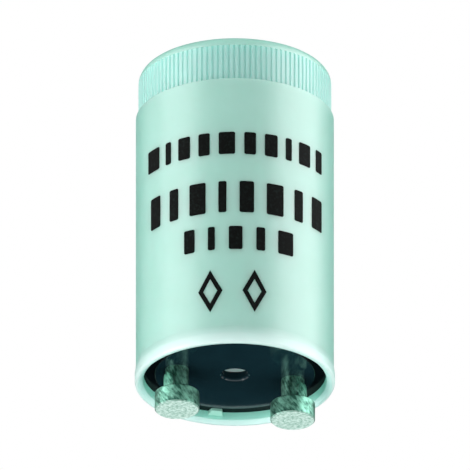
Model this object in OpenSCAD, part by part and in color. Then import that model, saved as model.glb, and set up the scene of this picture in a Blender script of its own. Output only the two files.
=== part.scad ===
// Glow starter for a fluorescent lamp, in millimetres.
// A moulded can holds a glow bulb and a small capacitor. A round base plate closes it,
// and two headed contact pins are riveted through the plate.
// It stands on its pins: z = 0 is the pin ends, the z axis is the can's axis,
// and the x axis runs through both pins.

/* [Overall] */
// Height from the pin ends to the closed end of the can
overall_h = 40.3; // [38:0.1:44]

/* [Can] */
// Distance from a pin's middle to the inside of the wall, which sets the can's diameter
pin_edge = 3.225; // [2.8:0.025:3.8]
// Thickness of the barrel wall
wall = 1.05; // [0.9:0.05:1.4]
// Thickness of the closed end
end_t = 1.1; // [0.8:0.1:2]
// Radius of the rounded edge of the closed end
edge_r = 1.2; // [0.6:0.1:1.6]
// How far the bead at the open end stands proud of the barrel
bead_out = 0.125; // [0.05:0.025:0.4]
// Height of the bead, from the open end up to the plain barrel
bead_h = 2; // [1:0.1:4]
// Radius of the rounding outside the open end
lip_r = 0.3; // [0.15:0.05:0.3]
// Bevel inside the open end
lip_bevel = 0.4; // [0.2:0.05:0.4]

/* [Fluted band] */
// Height of the band, from the closed end down to the barrel's shoulder
band_h = 5.25; // [3.5:0.05:9]
// How far the band steps in from the barrel
band_inset = 0.275; // [0.15:0.025:0.4]
// Number of flutes round the band
flute_count = 112; // [60:1:140]
// Width of a flute at its mouth
flute_w = 0.26; // [0.15:0.01:0.4]
// Depth of a flute
flute_depth = 0.14; // [0.08:0.01:0.25]

/* [Base plate] */
// Thickness of the base plate
plate_t = 1.1; // [0.8:0.1:2]
// How deep the plate's face lies inside the open end of the can
plate_recess = 1.1; // [0.8:0.05:2]
// Running gap between the plate's edge and the can
plate_clear = 0.05; // [0.02:0.01:0.15]
// Width of the stepped border that the can's tabs catch on
border_w = 1.25; // [1:0.05:2]
// Depth of the step
border_step = 0.15; // [0.1:0.01:0.3]
// Ledge inside the can that the plate is pushed up against
seat_step = 0.28; // [0.15:0.01:0.35]
// Diameter of the vent hole in the middle
vent_d = 2.8; // [1.5:0.1:5]
// Bevel at both ends of the vent hole
vent_bevel = 0.2; // [0.05:0.05:0.35]

/* [Retaining tabs] */
// Width of a tab where it leaves the can
tab_w = 1.9; // [1.5:0.1:3]
// Width of a tab at its tip
tab_tip_w = 1.1; // [0.6:0.1:1.4]
// How far a tab reaches in over the plate's border
tab_in = 0.9; // [0.6:0.05:0.95]
// Thickness of a tab at its tip
tab_t = 0.3; // [0.2:0.05:0.5]

/* [Contact pins] */
// Distance between the two pins
pin_spacing = 12.7; // [11.5:0.1:13]
// How far a pin stands out of the base plate
pin_h = 4.8; // [4.5:0.1:7]
// Diameter of a pin's head
head_d = 4.8; // [4:0.1:5.5]
// Height of a pin's head
head_h = 2.05; // [1.5:0.05:2.4]
// Bevel round both edges of a head
head_bevel = 0.12; // [0.05:0.01:0.3]
// Diameter of a pin's neck
neck_d = 2.5; // [2.3:0.1:3.2]
// How far the neck steps in where it passes through the plate
neck_shoulder = 0.2; // [0.1:0.05:0.3]
// How far the riveted end flares over the plate
rivet_flare = 0.65; // [0.4:0.05:0.9]
// Height of the riveted end
rivet_h = 0.7; // [0.5:0.05:1]
// Wall round the blind bore that takes the leads
bore_wall = 0.3; // [0.2:0.05:0.35]
// Depth of the blind bore, from the riveted end
bore_depth = 2.6; // [2:0.1:4]
// Width of the small arched nib on the neck
nib_w = 1.3; // [0.8:0.1:1.6]
// Height of the nib above the head
nib_h = 1.9; // [1:0.1:2]
// How far the nib stands proud of the neck
nib_out = 0.38; // [0.2:0.02:0.5]
// Direction that the left pin's nib faces, in degrees
nib_angle_left = 218; // [0:1:360]
// Direction that the right pin's nib faces, in degrees
nib_angle_right = 303; // [0:1:360]

/* [Glow bulb] */
// Thickness of the glass
glass_t = 0.6; // [0.4:0.05:0.8]
// Gap between the glass and the can's wall
bulb_clear = 1.3; // [0.8:0.1:1.8]
// Gap between the sealed tip and the closed end
tip_clear = 2.3; // [1:0.1:4]
// Height of the pinch's foot above the base plate
bulb_lift = 7.4; // [7:0.1:8.4]
// Width of the flat pinch
pinch_w = 5; // [4.4:0.1:6]
// Thickness of the flat pinch
pinch_t = 2.1; // [1.8:0.1:2.6]
// Height of the flat pinch
pinch_h = 3.6; // [2.5:0.1:5]
// Height over which the round tube narrows to the pinch
shoulder_h = 3.4; // [2.5:0.1:5]
// Radius of the sealed tip on the dome
tip_r = 0.8; // [0.5:0.1:1.2]
// How far the sealed tip stands out of the dome
tip_h = 1.1; // [0.6:0.1:1.3]

/* [Electrodes] */
// Distance between the two posts inside the bulb
post_spacing = 2.2; // [2:0.05:2.6]
// Height of the posts above the pinch
post_h = 4.6; // [4:0.1:5.5]
// Thickness of the bimetal strip
strip_t = 0.25; // [0.15:0.05:0.35]
// Width of the bimetal strip
strip_w = 1.8; // [1.2:0.1:2.4]
// Gap between the strip's bend and the top of the dome, inside
strip_clear = 2.6; // [2.2:0.1:5]
// How far the welded leg runs down its post
weld_h = 2; // [1:0.1:3]
// Height of the free leg's end above the posts
free_lift = 1.5; // [0.5:0.1:3]
// Diameter of the fixed electrode
electrode_d = 0.8; // [0.6:0.05:1]
// How far the fixed electrode stops below the strip's bend
electrode_drop = 2; // [1:0.1:4]
// Open gap between the bimetal strip and the fixed electrode
contact_gap = 0.3; // [0.2:0.05:0.4]

/* [Leads] */
// Diameter of the lead wires
lead_d = 0.5; // [0.3:0.05:0.6]
// Radius of a bend in a lead, at the middle of the wire
bend_r = 0.8; // [0.6:0.05:1]
// Slope of the slanting stretch of a lead, in degrees from upright
lead_slope = 60; // [50:1:70]
// Straight length of a lead above the riveted end, before its first bend
lead_stub = 1.1; // [0.9:0.1:1.5]
// Radius of the solder dome on a riveted end
solder_r = 1.25; // [1:0.05:1.4]
// Height of the solder dome
solder_h = 0.5; // [0.3:0.05:0.7]

/* [Capacitor] */
// Length of the wound roll
roll_len = 8.6; // [7:0.1:9]
// Height of the roll's flattened section
roll_h = 7.2; // [6:0.1:8]
// Thickness of the roll's flattened section
roll_t = 4; // [3:0.1:4.4]
// Thickness of the sprayed metal on each end
spray_t = 0.5; // [0.3:0.05:0.7]
// Gap between the roll and the bulb
roll_clear = 1.2; // [0.8:0.1:1.6]
// Gap between the roll and the can's wall, along the y axis
roll_back = 3.85; // [3.5:0.05:4.4]
// Height of the roll's underside above the base plate
roll_lift = 8.4; // [8:0.1:12]

/* [Hidden] */

turned_fn = 128;   // segments round the can and the plate
small_fn = 48;     // round pins, glass and solder
hole_fn = 24;      // round the holes for the wires, and the fixed electrode
wire_fn = 10;      // flats round a wire
arc_steps = 8;     // straight steps in a drawn quarter arc
past = 1;          // how far a cutting shape runs past what it cuts
bead_crest = 0.55; // share of the bead's height at which it is widest
flute_splay = 1.5; // how much wider a cutting tooth is, outside the band, than a flute's mouth
tube_swell = 1.1;  // how far the glass's side views swell past the round tube
tip_root = 1.3;    // width of the sealed tip's root, in tip radii

// Heights
plate_z = pin_h;
plate_top_z = plate_z + plate_t;
border_z = plate_z + border_step;
lip_z = plate_z - plate_recess;
shoulder_z = overall_h - band_h;
edge_z = overall_h - edge_r;
inner_top_z = overall_h - end_t;
rivet_top_z = plate_top_z + rivet_h;
bore_z = rivet_top_z - bore_depth;
stub_z = rivet_top_z + lead_stub;
pinch_z = plate_top_z + bulb_lift;
pinch_top_z = pinch_z + pinch_h;
post_top_z = pinch_top_z + post_h;
dome_top_z = inner_top_z - tip_clear - tip_h;
roll_z = plate_top_z + roll_lift + roll_h / 2;

// Radii and places across the can
pin_x = pin_spacing / 2;
inner_r = pin_x + pin_edge;
barrel_r = inner_r + wall;
bead_r = barrel_r + bead_out;
band_r = barrel_r - band_inset;
seat_r = inner_r + seat_step;
plate_r = seat_r - plate_clear;
border_r = seat_r - border_w;
inner_fillet = edge_r / 2;
shoulder_bevel = band_inset / 3;
edge_bevel = border_step / 2;
neck_r = neck_d / 2;
shank_r = neck_r - neck_shoulder;
rivet_r = shank_r + rivet_flare;
bore_r = shank_r - bore_wall;
lead_y = bore_r / 2;
lead_foot = lead_d;
roll_y = -inner_r + roll_back + roll_t / 2;
bulb_r = (inner_r - bulb_clear - roll_y - roll_t / 2 - roll_clear) / 2;
bulb_y = inner_r - bulb_clear - bulb_r;
post_x = post_spacing / 2;
roll_end_x = roll_len / 2 + spray_t;
weld_depth = spray_t / 2;

// Bimetal strip: the welded leg lies on the outside of its post, the free leg by the electrode
welded_x = -post_x - lead_d / 2 - strip_t / 2;
free_x = post_x - electrode_d / 2 - contact_gap - strip_t / 2;
strip_bend_r = (free_x - welded_x) / 2;
strip_top_z = dome_top_z - glass_t - strip_clear - strip_bend_r - strip_t / 2;

// Points of an arc round [cx, cy], from angle a0 to a1
function arc(cx, cy, r, a0, a1) =
    [for (i = [0:arc_steps]) let (a = a0 + (a1 - a0) * i / arc_steps)
        [cx + r * cos(a), cy + r * sin(a)]];

// S-bend that moves a lead sideways by reach, as [sideways, up] points from its foot
function s_bend(reach) =
    let (run = (reach - 2 * bend_r * (1 - cos(lead_slope))) / sin(lead_slope),
         rise = 2 * bend_r * sin(lead_slope) + run * cos(lead_slope),
         bend = arc(0, 0, bend_r, 0, lead_slope))
    concat([for (p = bend) [bend_r - p[0], p[1]]],
           [for (i = [arc_steps:-1:0]) [reach - bend_r + bend[i][0], rise - bend[i][1]]]);

// Half width of the glass at height z: flat pinch, smooth shoulder, then past the round tube
function glass_half(z, flat) =
    let (t = max(0, min(1, (z - pinch_top_z) / shoulder_h)))
    flat + (bulb_r * tube_swell - flat) * (1 - cos(180 * t)) / 2;

// Can: one moulding with a rolled bead, a fluted grip band and two tabs for the plate
module can() {
    color("#c4eadf")
    union() {
        difference() {
            rotate_extrude($fn = turned_fn) polygon(can_outline());
            flutes();
        }
        for (side = [90, 270]) rotate([0, 0, side]) retaining_tab();
    }
}

function can_outline() = concat(
    [[seat_r, lip_z + lip_bevel], [seat_r + lip_bevel, lip_z]],
    arc(bead_r - lip_r, lip_z + lip_r, lip_r, -90, 0),
    arc(bead_r - bead_out / 2, lip_z + bead_h * bead_crest, bead_out / 2, 0, 45),
    [[barrel_r, lip_z + bead_h],
     [barrel_r, shoulder_z - shoulder_bevel],
     [barrel_r - shoulder_bevel, shoulder_z],
     [band_r, shoulder_z]],
    arc(band_r - edge_r, edge_z, edge_r, 0, 90),
    [[0, overall_h], [0, inner_top_z]],
    arc(inner_r - inner_fillet, inner_top_z - inner_fillet, inner_fillet, 90, 0),
    [[inner_r, plate_top_z], [seat_r, plate_top_z]]);

// Ring with one tooth for each flute, which cuts the band from the shoulder to the rounded edge
module flutes() {
    pitch = 360 / flute_count;
    mouth = asin(flute_w / 2 / band_r) * flute_splay;
    floor_a = asin(flute_w / 4 / band_r);
    outline = [for (i = [0:flute_count - 1]) for (p = [
            [band_r + flute_depth, -mouth], [band_r - flute_depth, -floor_a],
            [band_r - flute_depth, floor_a], [band_r + flute_depth, mouth]])
        [p[0] * cos(i * pitch + p[1]), p[0] * sin(i * pitch + p[1])]];
    translate([0, 0, shoulder_z])
        linear_extrude(height = edge_z - shoulder_z)
            difference() {
                circle(r = band_r + past, $fn = turned_fn);
                polygon(outline);
            }
}

// Snap tab that holds the plate up: tapered in plan, ramped underneath
module retaining_tab() {
    root = seat_r + lip_bevel;
    tip = seat_r - tab_in;
    intersection() {
        linear_extrude(height = overall_h)
            polygon([[root, -tab_w / 2], [tip, -tab_tip_w / 2],
                     [tip, tab_tip_w / 2], [root, tab_w / 2]]);
        rotate([90, 0, 0])
            translate([0, 0, -tab_w])
                linear_extrude(height = 2 * tab_w)
                    polygon([[root, border_z], [tip, border_z], [tip, border_z - tab_t],
                             [root, border_z - tab_t - tab_in / 3]]);
    }
}

// Base plate: a stepped border for the tabs, a vent in the middle and a hole for each pin
module base_plate() {
    vent_r = vent_d / 2;
    color("#16262c")
    difference() {
        rotate_extrude($fn = turned_fn)
            polygon([[vent_r, plate_z + vent_bevel], [vent_r + vent_bevel, plate_z],
                     [border_r - edge_bevel, plate_z], [border_r, plate_z + edge_bevel],
                     [border_r, border_z], [plate_r, border_z], [plate_r, plate_top_z],
                     [vent_r + vent_bevel, plate_top_z], [vent_r, plate_top_z - vent_bevel]]);
        for (side = [-1, 1])
            translate([side * pin_x, 0, plate_z - past])
                cylinder(r = shank_r, h = plate_t + 2 * past, $fn = small_fn);
    }
}

// Contact pin: headed, shouldered under the plate, riveted over above it, bored for the leads
module contact_pin(side, nib_angle) {
    color("#9fb3aa")
    translate([side * pin_x, 0, 0])
    union() {
        rotate_extrude($fn = small_fn)
            polygon(concat(
                [[0, 0], [head_d / 2 - head_bevel, 0], [head_d / 2, head_bevel],
                 [head_d / 2, head_h - head_bevel], [head_d / 2 - head_bevel, head_h],
                 [neck_r, head_h], [neck_r, plate_z], [shank_r, plate_z],
                 [shank_r, plate_top_z]],
                arc(rivet_r - rivet_h / 2, plate_top_z + rivet_h / 2, rivet_h / 2, -90, 90),
                [[bore_r, rivet_top_z], [bore_r, bore_z], [0, bore_z]]));
        nib(nib_angle);
    }
}

// Arched nib on the lower half of the neck
module nib(nib_angle) {
    rotate([0, 0, nib_angle])
    intersection() {
        translate([0, 0, head_h / 2])
            cylinder(r = neck_r + nib_out, h = pin_h - head_h / 2, $fn = small_fn);
        translate([neck_r / 2, 0, head_h])
            rotate([90, 0, 90])
                linear_extrude(height = neck_r)
                    union() {
                        translate([-nib_w / 2, -head_bevel])
                            square([nib_w, nib_h - nib_w / 2 + head_bevel]);
                        translate([0, nib_h - nib_w / 2]) circle(d = nib_w, $fn = small_fn);
                    }
    }
}

module contact_pin_left() { contact_pin(-1, nib_angle_left); }
module contact_pin_right() { contact_pin(1, nib_angle_right); }

// Glass tube with a domed top and a sealed tip, pinched flat round the two lead-in wires
module glow_bulb_glass() {
    color("#d8e8e4", 0.5)
    difference() {
        glass_form(0, pinch_z);
        glass_form(glass_t, pinch_top_z + glass_t);
        for (side = [-1, 1])
            translate([side * post_x, bulb_y, pinch_z - past])
                cylinder(d = lead_d, h = pinch_h + 2 * past + glass_t, $fn = hole_fn);
    }
}

// The tube's form, smaller all round by inset, from height foot_z up
module glass_form(inset, foot_z) {
    r = bulb_r - inset;
    dome_z = dome_top_z - bulb_r;
    translate([0, bulb_y, 0])
    intersection() {
        rotate_extrude($fn = small_fn)
            union() {
                polygon(concat([[0, foot_z], [r, foot_z]], arc(0, dome_z, r, 0, 90)));
                if (inset == 0) sealed_tip(dome_z + bulb_r);
            }
        rotate([90, 0, 0]) flat_profile(pinch_w / 2 - inset, inset, foot_z);
        rotate([90, 0, 90]) flat_profile(pinch_t / 2 - inset, inset, foot_z);
    }
}

module sealed_tip(top_z) {
    base_z = top_z - tip_r / 2;
    polygon(concat([[0, base_z], [tip_r * tip_root, base_z]],
                   arc(0, top_z + tip_h - tip_r, tip_r, 0, 90)));
}

// Side view of the glass: a flat foot that swells to more than the tube's width
module flat_profile(flat, inset, foot_z) {
    top_z = inner_top_z;
    steps = 2 * arc_steps;
    right = concat([[flat, foot_z - (inset == 0 ? 0 : past)]],
        [for (i = [0:steps]) let (z = pinch_top_z + shoulder_h * i / steps)
            [glass_half(z, flat), z]],
        [[bulb_r * tube_swell, top_z]]);
    left = [for (i = [len(right) - 1:-1:0]) [-right[i][0], right[i][1]]];
    translate([0, 0, -2 * bulb_r])
        linear_extrude(height = 4 * bulb_r)
            polygon(concat(right, left));
}

// Route of a lead from a pin's bore at [x0, y0]: up, over in an S-bend to [x1, y1], and up
function lead_route(x0, y0, x1, y1) =
    let (reach = norm([x1 - x0, y1 - y0]), way = [x1 - x0, y1 - y0] / reach)
    concat([[x0, y0, bore_z + lead_foot]],
        [for (p = s_bend(reach)) [x0 + p[0] * way[0], y0 + p[0] * way[1], stub_z + p[1]]]);

// Round wire along a route, as rings joined by triangles
module wire(route) {
    last = len(route) - 1;
    rings = [for (i = [0:last]) wire_ring(route[i], heading(route, i, last))];
    points = [for (ring = rings) for (p = ring) p];
    sides = [for (i = [0:last - 1]) for (k = [0:wire_fn - 1])
        let (a = i * wire_fn + k, b = i * wire_fn + (k + 1) % wire_fn)
        each [[a, b, b + wire_fn], [a, b + wire_fn, a + wire_fn]]];
    foot = [[for (k = [wire_fn - 1:-1:0]) k]];
    top = [[for (k = [0:wire_fn - 1]) last * wire_fn + k]];
    polyhedron(points, concat(sides, foot, top));
}

function unit(v) = v / norm(v);

// Direction of a route at point i, which halves the corner there
function heading(route, i, last) =
    unit((i < last ? unit(route[i + 1] - route[i]) : [0, 0, 0])
       + (i > 0 ? unit(route[i] - route[i - 1]) : [0, 0, 0]));

// Points round the wire at one place; no lead ever runs along y, so y sets where a ring starts
function wire_ring(place, way) =
    let (side = unit([0, 1, 0] - way[1] * way), other = cross(side, way))
    [for (k = [0:wire_fn - 1]) let (a = -360 * k / wire_fn)
        place + lead_d / 2 * (cos(a) * side + sin(a) * other)];

// Lead-in wires: from the pins through the pinch; their tops are the posts in the bulb
module lead_in_wire(side) {
    color("#b9b4a6")
        wire(concat(lead_route(side * pin_x, lead_y, side * post_x, bulb_y),
                    [[side * post_x, bulb_y, post_top_z]]));
}

module lead_in_wire_left() { lead_in_wire(-1); }
module lead_in_wire_right() { lead_in_wire(1); }

// Bimetal strip bent to a hairpin, which opens against the fixed electrode when it warms
module bimetal_strip() {
    color("#b59a5e")
    translate([0, bulb_y + strip_w / 2, 0])
    rotate([90, 0, 0])
    linear_extrude(height = strip_w)
        union() {
            strip_leg(welded_x, post_top_z - weld_h);
            strip_leg(free_x, post_top_z + free_lift);
            translate([welded_x + strip_bend_r, strip_top_z])
                difference() {
                    circle(r = strip_bend_r + strip_t / 2, $fn = small_fn);
                    circle(r = strip_bend_r - strip_t / 2, $fn = small_fn);
                    translate([-2 * strip_bend_r, -4 * strip_bend_r])
                        square(4 * strip_bend_r);
                }
        }
}

// Straight leg of the strip, from height foot_z up to the bend
module strip_leg(x, foot_z) {
    translate([x - strip_t / 2, foot_z]) square([strip_t, strip_top_z - foot_z]);
}

// Fixed electrode: a thicker rod butt-welded on its post
module fixed_electrode() {
    color("#a9adad")
    translate([post_x, bulb_y, post_top_z])
        cylinder(d = electrode_d, h = strip_top_z - electrode_drop - post_top_z,
                 $fn = hole_fn);
}

// Flattened section of the wound roll, with its length along x
module roll_section(x0, length) {
    translate([x0, roll_y, roll_z])
    rotate([90, 0, 90])
    linear_extrude(height = length)
        union() {
            square([roll_t, roll_h - roll_t], center = true);
            for (s = [-1, 1])
                translate([0, s * (roll_h - roll_t) / 2]) circle(d = roll_t, $fn = small_fn);
        }
}

module capacitor_roll() {
    color("#b8792f") roll_section(-roll_len / 2, roll_len);
}

// Sprayed metal end of the roll, which the lead is welded into
module capacitor_end(side) {
    color("#9b9d9c")
    mirror([side < 0 ? 1 : 0, 0, 0])
    difference() {
        roll_section(roll_len / 2, spray_t);
        translate([roll_end_x - weld_depth, roll_y, roll_z])
            rotate([0, 90, 0]) cylinder(d = lead_d, h = weld_depth + past, $fn = hole_fn);
    }
}

module capacitor_end_left() { capacitor_end(-1); }
module capacitor_end_right() { capacitor_end(1); }

// Capacitor lead: up from the pin, then a quarter bend into the middle of the end face
module capacitor_lead(side) {
    upright_x = roll_end_x + bend_r;
    color("#c3c6c4")
    mirror([side < 0 ? 1 : 0, 0, 0])
    wire(concat(lead_route(pin_x, -lead_y, upright_x, roll_y),
                [for (p = arc(roll_end_x, roll_z - bend_r, bend_r, 0, 90)) [p[0], roll_y, p[1]]],
                [[roll_end_x - weld_depth, roll_y, roll_z]]));
}

module capacitor_lead_left() { capacitor_lead(-1); }
module capacitor_lead_right() { capacitor_lead(1); }

// Solder that fills a pin's bore round both leads and domes over its riveted end
module solder_joint(side) {
    dome_r = (solder_r * solder_r + solder_h * solder_h) / (2 * solder_h);
    color("#b7bcbe")
    translate([side * pin_x, 0, 0])
    difference() {
        rotate_extrude($fn = small_fn)
            polygon(concat([[0, bore_z], [bore_r, bore_z], [bore_r, rivet_top_z]],
                           arc(0, rivet_top_z + solder_h - dome_r, dome_r,
                               asin((dome_r - solder_h) / dome_r), 90)));
        for (y = [-lead_y, lead_y])
            translate([0, y, bore_z + lead_foot])
                cylinder(d = lead_d, h = bore_depth + past, $fn = hole_fn);
    }
}

module solder_joint_left() { solder_joint(-1); }
module solder_joint_right() { solder_joint(1); }

can();
base_plate();
contact_pin_left();
contact_pin_right();
glow_bulb_glass();
lead_in_wire_left();
lead_in_wire_right();
bimetal_strip();
fixed_electrode();
capacitor_roll();
capacitor_end_left();
capacitor_end_right();
capacitor_lead_left();
capacitor_lead_right();
solder_joint_left();
solder_joint_right();
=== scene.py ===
# A fluorescent lamp starter, seen from below its pins, around the fixed CAD frame.
# Lengths are in metres; mm is one millimetre.
import math

import bmesh
import bpy
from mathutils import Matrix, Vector


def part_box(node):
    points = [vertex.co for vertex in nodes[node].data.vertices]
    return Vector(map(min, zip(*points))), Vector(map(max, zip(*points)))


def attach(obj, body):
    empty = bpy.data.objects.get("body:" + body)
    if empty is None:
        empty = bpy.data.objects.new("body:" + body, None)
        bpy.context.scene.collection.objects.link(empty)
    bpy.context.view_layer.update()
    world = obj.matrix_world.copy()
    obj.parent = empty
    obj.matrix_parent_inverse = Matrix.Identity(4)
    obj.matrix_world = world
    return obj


mm = 0.001

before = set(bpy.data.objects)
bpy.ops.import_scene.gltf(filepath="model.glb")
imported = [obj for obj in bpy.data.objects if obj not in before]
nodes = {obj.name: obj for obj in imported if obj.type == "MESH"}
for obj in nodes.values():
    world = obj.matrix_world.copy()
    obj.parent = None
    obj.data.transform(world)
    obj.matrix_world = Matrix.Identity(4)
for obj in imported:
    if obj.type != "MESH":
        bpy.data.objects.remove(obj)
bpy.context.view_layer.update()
print("frame loaded:", len(nodes), "nodes")


def middleOf(nodeName):
    low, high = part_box(nodeName)
    return (low + high) / 2


def toLinear(hexColour):
    channels = [int(hexColour[i:i + 2], 16) / 255 for i in (1, 3, 5)]
    linear = [c / 12.92 if c <= 0.04045 else ((c + 0.055) / 1.055) ** 2.4 for c in channels]
    return (*linear, 1.0)


# Adds one node: settings go to sockets by name, or else to the node's own properties
def addNode(tree, kind, settings=None, links=None):
    node = tree.nodes.new(kind)
    for name, value in (settings or {}).items():
        if isinstance(name, int):
            node.inputs[name].default_value = value
        elif name in node.inputs:
            node.inputs[name].default_value = value
        else:
            setattr(node, name, value)
    for name, source in (links or {}).items():
        tree.links.new(source, node.inputs[name])
    return node


def newMaterial(name):
    material = bpy.data.materials.new(name)
    material.use_nodes = True
    material.node_tree.nodes.clear()
    return material, material.node_tree


def finishMaterial(tree, shader):
    output = tree.nodes.new("ShaderNodeOutputMaterial")
    tree.links.new(shader, output.inputs["Surface"])


# Puts a new object with its mesh, light or camera into the scene
def addObject(name, data):
    thing = bpy.data.objects.new(name, data)
    bpy.context.scene.collection.objects.link(thing)
    return thing


# The direction from the part outwards: degrees round from straight in front, degrees up
def directionOf(azimuth, elevation=0):
    azimuth, elevation = math.radians(azimuth), math.radians(elevation)
    return Vector((math.sin(azimuth) * math.cos(elevation),
                   -math.cos(azimuth) * math.cos(elevation), math.sin(elevation)))


# A number of waves or cells per metre from a real spacing
def perMetre(spacing):
    return 1.0 / spacing


# Distance of each point from the upright axis through the origin of its coordinates
def distanceFromAxis(tree, place):
    flat = addNode(tree, "ShaderNodeVectorMath", {"operation": "MULTIPLY", 1: (1, 1, 0)},
                   {0: place})
    return addNode(tree, "ShaderNodeVectorMath", {"operation": "LENGTH"},
                   {0: flat.outputs[0]}).outputs["Value"]


# One where the value lies between low and high, otherwise nought
def between(tree, value, low, high):
    above = addNode(tree, "ShaderNodeMath", {"operation": "GREATER_THAN", 1: low}, {0: value})
    below = addNode(tree, "ShaderNodeMath", {"operation": "LESS_THAN", 1: high}, {0: value})
    return addNode(tree, "ShaderNodeMath", {"operation": "MULTIPLY"},
                   {0: above.outputs[0], 1: below.outputs[0]}).outputs[0]


# Camera: looks up from below the pins, from a little to the left
camera = {
    "azimuth": -12.4,       # degrees round from straight in front
    "elevation": -25.2,     # degrees, below the floor
    "distance": 1.0,        # any distance does, because nothing looks smaller farther off
    "frameSize": 470,       # pixels
    "pixelsPerMm": 9.32,
    "axisX": 234.9,         # pixel column of the can's axis
    "pinEndY": 415.4,       # pixel row of the point midway between the pin ends
}


def buildCamera(c):
    azimuth = math.radians(c["azimuth"])
    back = directionOf(c["azimuth"], c["elevation"])
    right = Vector((math.cos(azimuth), math.sin(azimuth), 0))
    up = back.cross(right)
    scale = mm / c["pixelsPerMm"]
    centre = c["frameSize"] / 2
    aim = right * (centre - c["axisX"]) * scale + up * (c["pinEndY"] - centre) * scale
    data = bpy.data.cameras.new("camera")
    data.type = "ORTHO"        # the photograph shows no perspective
    data.ortho_scale = c["frameSize"] * scale
    cameraObject = addObject("camera", data)
    cameraObject.location = aim + back * c["distance"]
    cameraObject.rotation_euler = back.to_track_quat("Z", "Y").to_euler()
    bpy.context.scene.camera = cameraObject


buildCamera(camera)
print("camera set")

# Moulded polycarbonate. Noise clouds the mint a little, and paler parts picked by height and
# radius are painted light: the glow of the rim, the sheen of the ribs and the lit inside.
# Light wanders in the wall: the eye gets a soft, milky, half-glossy plastic
polycarbonate = {
    "colour": "#98d2c2",
    "shade": "#8fcbb9",
    "ribSheenColour": "#98e4d3",    # painted sheen: the finely textured ribs are painted paler, standing in for the light they scatter
    "ribBottom": 35.1 * mm,
    "ribTop": 39.1 * mm,
    "rimGlowColour": "#b9e2d7",    # painted glow: the thin rim is painted paler, standing in for light coming through it
    "rimTop": 5.9 * mm,
    "rimBottom": 4.2 * mm,
    "rimRadius": 10.45 * mm,
    "lipLightColour": "#acdfd2",    # painted light: the underside of the lip is painted paler
    "seatRadius": 9.88 * mm,
    # painted light on the inside of the can
    "insideGlowColour": "#e0faf1",
    "insideRadius": 9.7 * mm,
    "insideFrom": 6.0 * mm,
    "insideTo": 39.15 * mm,
    "mottle": 3.0 * mm,        # soft clouds of tone from the melt flow
    "orangePeel": 0.45 * mm,   # waves of the polished mould, drawn coarse enough to show
    "peelDepth": 0.0035 * mm,
    "peelStrength": 0.6,
    "roughness": 0.38,
    "ior": 1.58,
    "gloss": 1.0,              # specular level, 0.5 is the plain value for this IOR
    "polish": 0.15,            # coat weight: the mould's polish, a whiter second sheen
    "polishRoughness": 0.34,
    "polishFade": 0.1 * mm,    # the polish ends where the ribs begin
    "topGloss": 0.2,           # the closed end is left matt by the mould
    "topFrom": 39.2 * mm,
    "topTo": 40.1 * mm,
    "tabTop": 5.2 * mm,
    "tabRadius": 9.8 * mm,
    "tabGloss": 0.15,          # the thin tabs are matt
    "tabScatter": 0.1,         # and too thin for light to wander in
    "scatter": 1.0,
    "scatterRadius": (3.0, 3.6, 3.5),    # millimetres, green travels furthest
}


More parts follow.
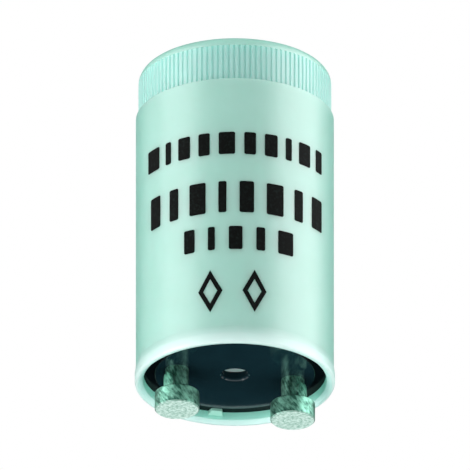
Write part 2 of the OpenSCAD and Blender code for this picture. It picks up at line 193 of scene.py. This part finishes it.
def mouldedPolycarbonate(p):
    material, tree = newMaterial("mouldedPolycarbonate")
    place = addNode(tree, "ShaderNodeTexCoord").outputs["Object"]
    clouds = addNode(tree, "ShaderNodeTexNoise",
                     {"Scale": perMetre(p["mottle"]), "Detail": 2.0}, {"Vector": place})
    colour = addNode(tree, "ShaderNodeMix", {
        "data_type": "RGBA", 6: toLinear(p["colour"]), 7: toLinear(p["shade"]),
    }, {"Factor": clouds.outputs["Fac"]})
    height = addNode(tree, "ShaderNodeSeparateXYZ", None, {"Vector": place}).outputs["Z"]
    reach = distanceFromAxis(tree, place)

    # painted sheen: the rib band is painted paler
    withRibSheen = addNode(tree, "ShaderNodeMix", {
        "data_type": "RGBA", 7: toLinear(p["ribSheenColour"]),
    }, {"Factor": between(tree, height, p["ribBottom"], p["ribTop"]), 6: colour.outputs[2]})

    # painted glow and light: paler towards the lip's rim, but not on the seat inside it
    nearRim = addNode(tree, "ShaderNodeMapRange", {
        "interpolation_type": "SMOOTHSTEP", "From Min": p["rimTop"],
        "From Max": p["rimBottom"],
    }, {"Value": height})
    outer = addNode(tree, "ShaderNodeMath", {"operation": "GREATER_THAN", 1: p["seatRadius"]},
                    {0: reach})
    nearRim = addNode(tree, "ShaderNodeMath", {"operation": "MULTIPLY"},
                      {0: nearRim.outputs["Result"], 1: outer.outputs[0]})
    onRim = addNode(tree, "ShaderNodeMath", {"operation": "GREATER_THAN", 1: p["rimRadius"]},
                    {0: reach})
    pale = addNode(tree, "ShaderNodeMix", {
        "data_type": "RGBA", 6: toLinear(p["lipLightColour"]), 7: toLinear(p["rimGlowColour"]),
    }, {"Factor": onRim.outputs[0]})
    withRimLight = addNode(tree, "ShaderNodeMix", {"data_type": "RGBA"},
                     {"Factor": nearRim.outputs[0], 6: withRibSheen.outputs[2], 7: pale.outputs[2]})

    # painted light: the inside is painted near white, standing in for light that comes through
    # the wall
    inner = addNode(tree, "ShaderNodeMath", {"operation": "LESS_THAN", 1: p["insideRadius"]},
                    {0: reach})
    inside = addNode(tree, "ShaderNodeMath", {"operation": "MULTIPLY"}, {
        0: inner.outputs[0], 1: between(tree, height, p["insideFrom"], p["insideTo"])})
    skin = addNode(tree, "ShaderNodeMix", {
        "data_type": "RGBA", 7: toLinear(p["insideGlowColour"]),
    }, {"Factor": inside.outputs[0], 6: withRimLight.outputs[2]})

    # matt closed end and tabs
    gloss = addNode(tree, "ShaderNodeMapRange", {
        "From Min": p["topFrom"], "From Max": p["topTo"],
        "To Min": p["gloss"], "To Max": p["topGloss"],
    }, {"Value": height})
    above = addNode(tree, "ShaderNodeMath", {"operation": "GREATER_THAN", 1: p["tabTop"]},
                    {0: height})
    beside = addNode(tree, "ShaderNodeMath", {"operation": "GREATER_THAN", 1: p["tabRadius"]},
                     {0: reach})
    offTab = addNode(tree, "ShaderNodeMath", {"operation": "MAXIMUM"},
                     {0: above.outputs[0], 1: beside.outputs[0]})
    gloss = addNode(tree, "ShaderNodeMix", {"data_type": "FLOAT", 2: p["tabGloss"]},
                    {"Factor": offTab.outputs[0], 3: gloss.outputs["Result"]})
    scatter = addNode(tree, "ShaderNodeMapRange",
                      {"To Min": p["tabScatter"], "To Max": p["scatter"]},
                      {"Value": offTab.outputs[0]})
    polish = addNode(tree, "ShaderNodeMapRange", {
        "From Min": p["ribBottom"], "From Max": p["ribBottom"] + p["polishFade"],
        "To Min": p["polish"], "To Max": 0.0,
    }, {"Value": height})
    peel = addNode(tree, "ShaderNodeTexNoise",
                   {"Scale": perMetre(p["orangePeel"]), "Detail": 1.0}, {"Vector": place})
    bump = addNode(tree, "ShaderNodeBump",
                   {"Strength": p["peelStrength"], "Distance": p["peelDepth"]},
                   {"Height": peel.outputs["Fac"]})
    shader = addNode(tree, "ShaderNodeBsdfPrincipled", {
        "Roughness": p["roughness"],
        "IOR": p["ior"],
        "Subsurface Radius": tuple(r * mm for r in p["scatterRadius"]),
        "Subsurface Scale": 1.0,
        "Coat Roughness": p["polishRoughness"],
    }, {"Base Color": skin.outputs[2], "Specular IOR Level": gloss.outputs[0],
        "Subsurface Weight": scatter.outputs["Result"],
        "Coat Weight": polish.outputs["Result"], "Normal": bump.outputs["Normal"]})
    finishMaterial(tree, shader.outputs["BSDF"])
    return material


# Moulded phenolic. Noise clouds the blue-black and ripples the skin, the gloss ends at the
# border, and the border is painted darker as shade: the eye gets a hard glossy face with a
# dull, shaded edge
phenolic = {
    "colour": "#0c2026",
    "bloom": "#122b32",
    "border": "#060d10",       # painted shade: the stepped border is painted darker, standing in for the shadow in the gap by the can
    "borderFrom": 8.49 * mm,
    "borderFade": 0.05 * mm,
    "gloss": 0.4,              # specular level
    "borderGloss": 0.03,
    "ventRadius": 1.5 * mm,    # the vent's wall is as dull as the border
    "cloud": 2.2 * mm,
    "ripple": 1.1 * mm,
    "rippleDepth": 0.006 * mm,
    "rippleStrength": 0.5,
    "roughness": 0.12,
    "ior": 1.6,
}


def mouldedPhenolic(p):
    material, tree = newMaterial("mouldedPhenolic")
    place = addNode(tree, "ShaderNodeTexCoord").outputs["Object"]
    clouds = addNode(tree, "ShaderNodeTexNoise",
                     {"Scale": perMetre(p["cloud"]), "Detail": 3.0}, {"Vector": place})
    colour = addNode(tree, "ShaderNodeMix", {
        "data_type": "RGBA", 6: toLinear(p["colour"]), 7: toLinear(p["bloom"]),
    }, {"Factor": clouds.outputs["Fac"]})
    reach = distanceFromAxis(tree, place)
    onBorder = addNode(tree, "ShaderNodeMapRange", {
        "From Min": p["borderFrom"], "From Max": p["borderFrom"] + p["borderFade"],
    }, {"Value": reach})
    inVent = addNode(tree, "ShaderNodeMath", {"operation": "LESS_THAN", 1: p["ventRadius"]},
                     {0: reach})
    dull = addNode(tree, "ShaderNodeMath", {"operation": "MAXIMUM"},
                   {0: onBorder.outputs["Result"], 1: inVent.outputs[0]})
    # painted shade on the stepped border
    withBorderShade = addNode(tree, "ShaderNodeMix", {
        "data_type": "RGBA", 7: toLinear(p["border"]),
    }, {"Factor": onBorder.outputs["Result"], 6: colour.outputs[2]})
    gloss = addNode(tree, "ShaderNodeMapRange",
                    {"To Min": p["gloss"], "To Max": p["borderGloss"]},
                    {"Value": dull.outputs[0]})
    ripple = addNode(tree, "ShaderNodeTexNoise",
                     {"Scale": perMetre(p["ripple"]), "Detail": 1.0}, {"Vector": place})
    bump = addNode(tree, "ShaderNodeBump",
                   {"Strength": p["rippleStrength"], "Distance": p["rippleDepth"]},
                   {"Height": ripple.outputs["Fac"]})
    shader = addNode(tree, "ShaderNodeBsdfPrincipled", {
        "Roughness": p["roughness"],
        "IOR": p["ior"],
    }, {"Base Color": withBorderShade.outputs[2], "Specular IOR Level": gloss.outputs["Result"],
        "Normal": bump.outputs["Normal"]})
    finishMaterial(tree, shader.outputs["BSDF"])
    return material


# Turned pin of dulled nickel plate. Noise stretched round the pin draws slanting rub marks,
# a second noise the patches of tarnish: the eye gets a grey-green satin, with a pale, coarsely
# rubbed end face that has one ring from the tool
platedPin = {
    "colour": "#88c4af",
    "tarnish": "#315d50",
    "tarnishBelow": 0.84,       # levels of wear, rubs and patches together
    "brightAbove": 1.2,
    "patch": 0.9 * mm,          # tarnish patches
    "rubWidth": 0.32 * mm,      # rub marks, drawn coarse enough to show
    "rubLength": 1.3 * mm,
    "rubSlant": 50,             # degrees from level
    "rubDepth": 0.016 * mm,
    "rubStrength": 0.6,
    "headRadius": 2.4 * mm,
    "endColour": "#d9f3ea",
    "endShade": "#8cbcab",
    "endGrain": 0.38 * mm,
    "endDepth": 0.06 * mm,
    "endStrength": 0.7,
    "endDullBelow": 0.36,       # levels of the grain
    "endBrightAbove": 0.6,
    "endLeast": 0.05,
    "ringRadius": 1.0 * mm,
    "ringWidth": 0.09 * mm,
    "sideFacing": -0.6,         # upward part of the normal where the side's finish ends
    "endFacing": -0.9,          # and where the end's finish is whole
    "roughness": 0.44,
    "endRoughness": 0.62,
    "metallic": 0.85,           # a film of tarnish covers part of the metal
    "endMetallic": 0.3,
}


def turnedPin(p, centre):
    material, tree = newMaterial("platedPinSteel")
    place = addNode(tree, "ShaderNodeTexCoord").outputs["Object"]
    local = addNode(tree, "ShaderNodeVectorMath",
                    {"operation": "SUBTRACT", 1: (centre.x, centre.y, 0)},
                    {0: place}).outputs[0]
    axes = addNode(tree, "ShaderNodeSeparateXYZ", None, {"Vector": local})

    # unroll the turned surface: distance round it and height
    turn = addNode(tree, "ShaderNodeMath", {"operation": "ARCTAN2"},
                   {0: axes.outputs["Y"], 1: axes.outputs["X"]})
    around = addNode(tree, "ShaderNodeMath", {"operation": "MULTIPLY", 1: p["headRadius"]},
                     {0: turn.outputs[0]})
    unrolled = addNode(tree, "ShaderNodeCombineXYZ", None,
                       {"X": around.outputs[0], "Y": axes.outputs["Z"]})
    slanted = addNode(tree, "ShaderNodeMapping", {
        "Rotation": (0, 0, math.radians(p["rubSlant"])),
    }, {"Vector": unrolled.outputs[0]})
    stretched = addNode(tree, "ShaderNodeVectorMath", {
        "operation": "MULTIPLY", 1: (perMetre(p["rubLength"]), perMetre(p["rubWidth"]), 1),
    }, {0: slanted.outputs[0]})
    rubs = addNode(tree, "ShaderNodeTexNoise",
                   {"Scale": 1.0, "Detail": 3.0, "Roughness": 0.65},
                   {"Vector": stretched.outputs[0]})
    patches = addNode(tree, "ShaderNodeTexNoise",
                      {"Scale": perMetre(p["patch"]), "Detail": 3.0}, {"Vector": local})
    wear = addNode(tree, "ShaderNodeMath", {"operation": "ADD"},
                   {0: rubs.outputs["Fac"], 1: patches.outputs["Fac"]})
    tarnish = addNode(tree, "ShaderNodeMapRange",
                      {"From Min": p["tarnishBelow"], "From Max": p["brightAbove"]},
                      {"Value": wear.outputs[0]})
    side = addNode(tree, "ShaderNodeMix", {
        "data_type": "RGBA", 6: toLinear(p["tarnish"]), 7: toLinear(p["colour"]),
    }, {"Factor": tarnish.outputs["Result"]})

    # the end face: coarse grain, with one ring left by the tool
    grain = addNode(tree, "ShaderNodeTexNoise",
                    {"Scale": perMetre(p["endGrain"]), "Detail": 3.0, "Roughness": 0.6},
                    {"Vector": local})
    offRing = addNode(tree, "ShaderNodeMath", {"operation": "SUBTRACT", 1: p["ringRadius"]},
                      {0: distanceFromAxis(tree, local)})
    offRing = addNode(tree, "ShaderNodeMath", {"operation": "ABSOLUTE"},
                      {0: offRing.outputs[0]})
    ring = addNode(tree, "ShaderNodeMapRange",
                   {"From Min": 0.0, "From Max": p["ringWidth"]},
                   {"Value": offRing.outputs[0]})
    endWear = addNode(tree, "ShaderNodeMapRange", {
        "From Min": p["endDullBelow"], "From Max": p["endBrightAbove"],
        "To Min": p["endLeast"],
    }, {"Value": grain.outputs["Fac"]})
    endWear = addNode(tree, "ShaderNodeMath", {"operation": "MULTIPLY"},
                      {0: endWear.outputs["Result"], 1: ring.outputs["Result"]})
    end = addNode(tree, "ShaderNodeMix", {
        "data_type": "RGBA", 6: toLinear(p["endShade"]), 7: toLinear(p["endColour"]),
    }, {"Factor": endWear.outputs[0]})

    # pick the finish by which way the surface faces
    normal = addNode(tree, "ShaderNodeNewGeometry").outputs["Normal"]
    facing = addNode(tree, "ShaderNodeSeparateXYZ", None, {"Vector": normal})
    isEnd = addNode(tree, "ShaderNodeMapRange",
                    {"From Min": p["sideFacing"], "From Max": p["endFacing"]},
                    {"Value": facing.outputs["Z"]}).outputs["Result"]
    colour = addNode(tree, "ShaderNodeMix", {"data_type": "RGBA"},
                     {"Factor": isEnd, 6: side.outputs[2], 7: end.outputs[2]})
    roughness = addNode(tree, "ShaderNodeMapRange",
                        {"To Min": p["roughness"], "To Max": p["endRoughness"]},
                        {"Value": isEnd})
    metallic = addNode(tree, "ShaderNodeMapRange",
                       {"To Min": p["metallic"], "To Max": p["endMetallic"]},
                       {"Value": isEnd})
    sideBump = addNode(tree, "ShaderNodeBump",
                       {"Strength": p["rubStrength"], "Distance": p["rubDepth"]},
                       {"Height": wear.outputs[0]})
    endBump = addNode(tree, "ShaderNodeBump",
                      {"Strength": p["endStrength"], "Distance": p["endDepth"]},
                      {"Height": grain.outputs["Fac"]})
    bump = addNode(tree, "ShaderNodeMix", {"data_type": "VECTOR"},
                   {"Factor": isEnd, 4: sideBump.outputs["Normal"],
                    5: endBump.outputs["Normal"]})
    shader = addNode(tree, "ShaderNodeBsdfPrincipled", None, {
        "Base Color": colour.outputs[2],
        "Metallic": metallic.outputs["Result"],
        "Roughness": roughness.outputs["Result"],
        "Normal": bump.outputs[1],
    })
    finishMaterial(tree, shader.outputs["BSDF"])
    return material


# Simple finishes for the hidden pieces. Fine noise darkens the colour in places and roughens
# the skin: the eye gets plain drawn, rolled, wound, sprayed or soldered stuff
innerFinishes = {
    "drawnNickelWire": {"colour": "#b8b6ac", "metallic": 1.0, "roughness": 0.3, "grain": 0.2},
    "rolledBimetal": {"colour": "#b59a62", "metallic": 1.0, "roughness": 0.35, "grain": 0.15},
    "drawnNickelRod": {"colour": "#a8acac", "metallic": 1.0, "roughness": 0.35, "grain": 0.2},
    "woundFilm": {"colour": "#a86c28", "metallic": 0.0, "roughness": 0.3, "grain": 0.5},
    "sprayedZinc": {"colour": "#9b9d9c", "metallic": 1.0, "roughness": 0.7, "grain": 0.12},
    "brightSolder": {"colour": "#c2c6c8", "metallic": 1.0, "roughness": 0.2, "grain": 0.6},
}
innerShade = 0.8           # the darker places, as a share of the colour
innerDepth = 0.01 * mm
innerStrength = 0.5


def innerFinish(name, p):
    material, tree = newMaterial(name)
    place = addNode(tree, "ShaderNodeTexCoord").outputs["Object"]
    grain = addNode(tree, "ShaderNodeTexNoise",
                    {"Scale": perMetre(p["grain"] * mm), "Detail": 3.0}, {"Vector": place})
    shade = addNode(tree, "ShaderNodeHueSaturation",
                    {"Value": innerShade, "Color": toLinear(p["colour"])})
    colour = addNode(tree, "ShaderNodeMix", {
        "data_type": "RGBA", 6: toLinear(p["colour"]),
    }, {"Factor": grain.outputs["Fac"], 7: shade.outputs["Color"]})
    bump = addNode(tree, "ShaderNodeBump",
                   {"Strength": innerStrength, "Distance": innerDepth},
                   {"Height": grain.outputs["Fac"]})
    shader = addNode(tree, "ShaderNodeBsdfPrincipled",
                     {"Metallic": p["metallic"], "Roughness": p["roughness"]},
                     {"Base Color": colour.outputs[2], "Normal": bump.outputs["Normal"]})
    finishMaterial(tree, shader.outputs["BSDF"])
    return material


# Soda-lime glass. Slow noise bends the surface a little: the eye gets clear, drawn tube,
# faintly green in its thickness
glass = {
    "colour": "#eef7f3",
    "wave": 2.5 * mm,
    "waveDepth": 0.01 * mm,
    "waveStrength": 0.3,
    "roughness": 0.02,
    "ior": 1.52,
}


def sodaLimeGlass(p):
    material, tree = newMaterial("sodaLimeGlass")
    place = addNode(tree, "ShaderNodeTexCoord").outputs["Object"]
    waves = addNode(tree, "ShaderNodeTexNoise",
                    {"Scale": perMetre(p["wave"]), "Detail": 1.0}, {"Vector": place})
    bump = addNode(tree, "ShaderNodeBump",
                   {"Strength": p["waveStrength"], "Distance": p["waveDepth"]},
                   {"Height": waves.outputs["Fac"]})
    shader = addNode(tree, "ShaderNodeBsdfPrincipled", {
        "Roughness": p["roughness"],
        "IOR": p["ior"],
        "Transmission Weight": 1.0,
        "Base Color": toLinear(p["colour"]),
    }, {"Normal": bump.outputs["Normal"]})
    finishMaterial(tree, shader.outputs["BSDF"])
    return material


def dress(nodeName, material):
    node = nodes[nodeName]
    if not node.material_slots:
        node.data.materials.append(material)
    for slot in node.material_slots:
        slot.material = material


dress("can", mouldedPolycarbonate(polycarbonate))
dress("base_plate", mouldedPhenolic(phenolic))
for side in ("left", "right"):
    dress("contact_pin_" + side, turnedPin(platedPin, middleOf("contact_pin_" + side)))
finishes = {name: innerFinish(name, p) for name, p in innerFinishes.items()}
for side in ("left", "right"):
    dress("lead_in_wire_" + side, finishes["drawnNickelWire"])
    dress("capacitor_lead_" + side, finishes["drawnNickelWire"])
    dress("capacitor_end_" + side, finishes["sprayedZinc"])
    dress("solder_joint_" + side, finishes["brightSolder"])
dress("bimetal_strip", finishes["rolledBimetal"])
dress("fixed_electrode", finishes["drawnNickelRod"])
dress("capacitor_roll", finishes["woundFilm"])
dress("glow_bulb_glass", sodaLimeGlass(glass))
print("finishes set on the CAD nodes")

# Print: black pad-printed bars in three rows over two plain lozenges, drawn as thin skins
printing = {
    "radius": 10.625 * mm,     # the barrel's own radius
    "proud": 0.02 * mm,        # thicker than real ink, so that it clears the wall
    "sunk": 0.02 * mm,
    "facing": -102.3,          # degrees round the z axis where the print is centred
    "columnWidth": 0.25 * mm,
    "corner": 0.22 * mm,
    # millimetres above the pin ends, degrees from the middle, bar widths in millimetres
    "rows": [
        {"z": (26.03, 28.64), "angles": (-61, 61),
         "bars": [2.1, 0.8, 1.5, 1.3, 1.8, 1.3, 1.5, 0.8, 1.7, 1.2]},
        {"z": (19.14, 22.82), "angles": (-58, 61),
         "bars": [1.7, 1.2, 1.9, 0.9, 1.6, 2.0, 1.2, 1.9]},
        {"z": (14.74, 17.48), "angles": (-31, 36),
         "bars": [1.3, 0.8, 1.5, 1.0, 1.9]},
    ],
    "lozenges": {"z": (7.38, 12.37), "angles": [(-21.8, -7.3), (4.3, 18.5)],
                 "stroke": 0.5 * mm, "steps": 8},
}


# Puts a flat outline point on the barrel: across in metres from the middle, up, and out
def onBarrel(across, z, out):
    p = printing
    angle = math.radians(p["facing"]) + across / p["radius"]
    r = p["radius"] + out
    return r * math.cos(angle), r * math.sin(angle), z


# A closed skin between two edges: each pair is a lower and an upper point (across, z)
def skinStrip(shape, pairs, closed=False):
    p = printing
    rings = []
    for low, high in pairs:
        rings.append([shape.verts.new(onBarrel(low[0], low[1], p["proud"])),
                      shape.verts.new(onBarrel(high[0], high[1], p["proud"])),
                      shape.verts.new(onBarrel(high[0], high[1], -p["sunk"])),
                      shape.verts.new(onBarrel(low[0], low[1], -p["sunk"]))])
    count = len(rings)
    for i in range(count if closed else count - 1):
        a, b = rings[i], rings[(i + 1) % count]
        for k in range(4):
            shape.faces.new((a[k], b[k], b[(k + 1) % 4], a[(k + 1) % 4]))
    if not closed:
        shape.faces.new(rings[0])
        shape.faces.new(list(reversed(rings[-1])))


def printedBar(shape, left, width, low, high):
    p = printing
    corner = p["corner"]
    body = max(1, round((width - 2 * corner) / p["columnWidth"]))
    stops = [corner * (1 - math.cos(math.radians(a))) for a in (20, 45, 70)]
    stops += [corner + (width - 2 * corner) * i / body for i in range(body + 1)]
    stops += [width - s for s in reversed(stops[:3])]
    pairs = []
    for s in stops:
        inside = min(s, width - s, corner)
        lift = corner - math.sqrt(corner ** 2 - (corner - inside) ** 2)
        pairs.append(((left + s, low + lift), (left + s, high - lift)))
    skinStrip(shape, pairs)


def printedLozenge(shape, centre, halfWidth, low, high, stroke, steps):
    middleZ = (low + high) / 2
    halfHeight = (high - low) / 2
    # shrinking both halves by this share leaves the same stroke on all four sides
    share = 1 - stroke * math.hypot(halfWidth, halfHeight) / (halfWidth * halfHeight)
    corners = [(1, 0), (0, 1), (-1, 0), (0, -1)]
    pairs = []
    for i, (ax, ay) in enumerate(corners):
        bx, by = corners[(i + 1) % 4]
        for k in range(steps):
            f = k / steps
            x = (ax + (bx - ax) * f) * halfWidth
            y = (ay + (by - ay) * f) * halfHeight
            pairs.append(((centre + x, middleZ + y),
                          (centre + x * share, middleZ + y * share)))
    skinStrip(shape, pairs, closed=True)


# Pad-printing ink. Noise above a level makes thin spots: the eye gets a dense, dull black
# with faint specks
padInk = {
    "colour": "#060807",
    "thin": "#141c1a",
    "speckle": 0.3 * mm,
    "thinFrom": 0.5,           # levels of the noise
    "thinTo": 0.75,
    "depth": 0.003 * mm,
    "strength": 0.4,
    "gloss": 0.05,
    "roughness": 0.6,
}


def printedInk(p):
    material, tree = newMaterial("padPrintInk")
    place = addNode(tree, "ShaderNodeTexCoord").outputs["Object"]
    speckle = addNode(tree, "ShaderNodeTexNoise",
                      {"Scale": perMetre(p["speckle"]), "Detail": 3.0}, {"Vector": place})
    worn = addNode(tree, "ShaderNodeMapRange",
                   {"From Min": p["thinFrom"], "From Max": p["thinTo"]},
                   {"Value": speckle.outputs["Fac"]})
    colour = addNode(tree, "ShaderNodeMix", {
        "data_type": "RGBA", 6: toLinear(p["colour"]), 7: toLinear(p["thin"]),
    }, {"Factor": worn.outputs["Result"]})
    bump = addNode(tree, "ShaderNodeBump", {"Strength": p["strength"], "Distance": p["depth"]},
                   {"Height": speckle.outputs["Fac"]})
    shader = addNode(tree, "ShaderNodeBsdfPrincipled",
                     {"Roughness": p["roughness"], "Specular IOR Level": p["gloss"]},
                     {"Base Color": colour.outputs[2], "Normal": bump.outputs["Normal"]})
    finishMaterial(tree, shader.outputs["BSDF"])
    return material


def finishPrint(name, shape, ink):
    bmesh.ops.recalc_face_normals(shape, faces=shape.faces)
    mesh = bpy.data.meshes.new(name)
    shape.to_mesh(mesh)
    shape.free()
    mesh.materials.append(ink)
    piece = addObject(name, mesh)
    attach(piece, "root")


def printTheBarrel(p):
    ink = printedInk(padInk)
    for number, row in enumerate(p["rows"], 1):
        shape = bmesh.new()
        first, last = (math.radians(a) * p["radius"] for a in row["angles"])
        widths = [w * mm for w in row["bars"]]
        gap = (last - first - sum(widths)) / (len(widths) - 1)
        left = first
        for width in widths:
            printedBar(shape, left, width, row["z"][0] * mm, row["z"][1] * mm)
            left += width + gap
        finishPrint("printed_bars_" + str(number), shape, ink)
        print("printed row", number, "gap", round(gap / mm, 2), "mm")
    lozenges = p["lozenges"]
    shape = bmesh.new()
    for angles in lozenges["angles"]:
        first, last = (math.radians(a) * p["radius"] for a in angles)
        printedLozenge(shape, (first + last) / 2, (last - first) / 2,
                       lozenges["z"][0] * mm, lozenges["z"][1] * mm,
                       lozenges["stroke"], lozenges["steps"])
    finishPrint("printed_lozenges", shape, ink)


printTheBarrel(printing)
print("print laid on the barrel")

# Light: two tall soft boxes at the sides, two low ones that reach the pins, a broad one
# below and one behind that shines through the wall
lamps = {
    "leftBox": {"azimuth": -81, "elevation": 10, "distance": 0.35, "size": (0.3, 0.55),
                "power": 0.9},
    "rightBox": {"azimuth": 67, "elevation": 25, "distance": 0.35, "size": (0.38, 0.4),
                 "power": 1.18},
    "lowBox": {"azimuth": -12, "elevation": -72, "distance": 0.35, "size": (0.35, 0.35),
               "power": 0.78, "glossy": False},
    "leftLowBox": {"azimuth": -80, "elevation": -30, "distance": 0.35, "size": (0.22, 0.3),
                   "power": 0.6},
    "rightLowBox": {"azimuth": 80, "elevation": -28, "distance": 0.35, "size": (0.15, 0.3),
                    "power": 0.25},
    "backFill": {"azimuth": 168, "elevation": 20, "distance": 0.5, "size": (0.4, 0.4),
                 "power": 1.3, "glossy": False},
}


lampAim = Vector((0, 0, 20 * mm))    # the middle of the part
skyFill = 0.4                        # light from all round


def softBox(name, p):
    way = directionOf(p["azimuth"], p["elevation"])
    data = bpy.data.lights.new(name, "AREA")
    data.shape = "RECTANGLE"
    data.size, data.size_y = p["size"]
    data.energy = p["power"]
    lamp = addObject(name, data)
    lamp.visible_glossy = p.get("glossy", True)
    lamp.location = lampAim + way * p["distance"]
    lamp.rotation_euler = way.to_track_quat("Z", "Y").to_euler()


# World: reflections and the camera see plain white, everything else gets the fill
def buildWorld(fill):
    world = bpy.data.worlds.new("studio")
    bpy.context.scene.world = world
    world.use_nodes = True
    tree = world.node_tree
    tree.nodes.clear()
    rays = addNode(tree, "ShaderNodeLightPath")
    backdrop = addNode(tree, "ShaderNodeBackground", {"Color": (1, 1, 1, 1), "Strength": 1.0})
    light = addNode(tree, "ShaderNodeBackground", {"Color": (1, 1, 1, 1), "Strength": fill})
    seen = addNode(tree, "ShaderNodeMath", {"operation": "MAXIMUM"},
                   {0: rays.outputs["Is Camera Ray"], 1: rays.outputs["Is Glossy Ray"]})
    seen = addNode(tree, "ShaderNodeMath", {"operation": "MAXIMUM"},
                   {0: seen.outputs[0], 1: rays.outputs["Is Transmission Ray"]})
    mix = addNode(tree, "ShaderNodeMixShader", None, {
        0: seen.outputs[0], 1: light.outputs[0], 2: backdrop.outputs[0]})
    output = tree.nodes.new("ShaderNodeOutputWorld")
    tree.links.new(mix.outputs[0], output.inputs["Surface"])


# Floor: pale and plain to a camera above it. From below the eye and the light pass through.
paper = {
    "colour": "#f4f4f2",
    "half": 0.25,
    "z": -0.03 * mm,           # just clear of the pin ends
}


def buildFloor(p):
    mesh = bpy.data.meshes.new("floor")
    half, z = p["half"], p["z"]
    corners = [(-half, -half, z), (half, -half, z), (half, half, z), (-half, half, z)]
    mesh.from_pydata(corners, [], [(0, 1, 2, 3)])
    floor = addObject("floor", mesh)
    material, tree = newMaterial("palePaper")
    rays = addNode(tree, "ShaderNodeLightPath")
    side = addNode(tree, "ShaderNodeNewGeometry")
    above = addNode(tree, "ShaderNodeMath", {"operation": "SUBTRACT", 0: 1.0},
                    {1: side.outputs["Backfacing"]})
    seen = addNode(tree, "ShaderNodeMath", {"operation": "MULTIPLY"},
                   {0: rays.outputs["Is Camera Ray"], 1: above.outputs[0]})
    clear = addNode(tree, "ShaderNodeBsdfTransparent")
    plain = addNode(tree, "ShaderNodeBsdfDiffuse", {"Color": toLinear(p["colour"])})
    mix = addNode(tree, "ShaderNodeMixShader", None,
                  {0: seen.outputs[0], 1: clear.outputs[0], 2: plain.outputs[0]})
    finishMaterial(tree, mix.outputs[0])
    mesh.materials.append(material)


# Black felt cards that only reflections see. The back one keeps the plate black and draws
# the thin dark outline round the can. The low one keeps the necks dark in the plate.
blackCards = {
    "backCard": {"azimuth": 168, "height": 0.2, "distance": 0.25, "size": (0.62, 1.1)},
    "lowCard": {"azimuth": -12, "height": -0.12, "distance": 0.22, "size": (0.55, 0.2)},
}
felt = {"colour": "#060606", "fibreColour": "#101010", "fibre": 2 * mm}


def blackFelt(p):
    material, tree = newMaterial("blackFelt")
    place = addNode(tree, "ShaderNodeTexCoord").outputs["Object"]
    fibres = addNode(tree, "ShaderNodeTexNoise", {"Scale": perMetre(p["fibre"])},
                     {"Vector": place})
    tone = addNode(tree, "ShaderNodeMix", {
        "data_type": "RGBA", 6: toLinear(p["colour"]), 7: toLinear(p["fibreColour"]),
    }, {"Factor": fibres.outputs["Fac"]})
    diffuse = addNode(tree, "ShaderNodeBsdfDiffuse", None, {"Color": tone.outputs[2]})
    finishMaterial(tree, diffuse.outputs[0])
    return material


def buildCard(name, p, material):
    way = directionOf(p["azimuth"])
    across = Vector((way.y, -way.x, 0))
    centre = Vector((0, 0, p["height"])) + way * p["distance"]
    halfWidth, halfHeight = p["size"][0] / 2, p["size"][1] / 2
    corners = [centre + across * sx * halfWidth + Vector((0, 0, sz * halfHeight))
               for sx, sz in ((-1, -1), (1, -1), (1, 1), (-1, 1))]
    mesh = bpy.data.meshes.new(name)
    mesh.from_pydata(corners, [], [(0, 1, 2, 3)])
    card = addObject(name, mesh)
    mesh.materials.append(material)
    card.visible_camera = False
    card.visible_diffuse = False
    card.visible_transmission = False
    card.visible_shadow = False


for name, p in lamps.items():
    softBox(name, p)
buildWorld(skyFill)
buildFloor(paper)
cardFelt = blackFelt(felt)
for name, p in blackCards.items():
    buildCard(name, p, cardFelt)
bpy.context.scene.view_settings.view_transform = "Standard"
print("lights, world and floor set")
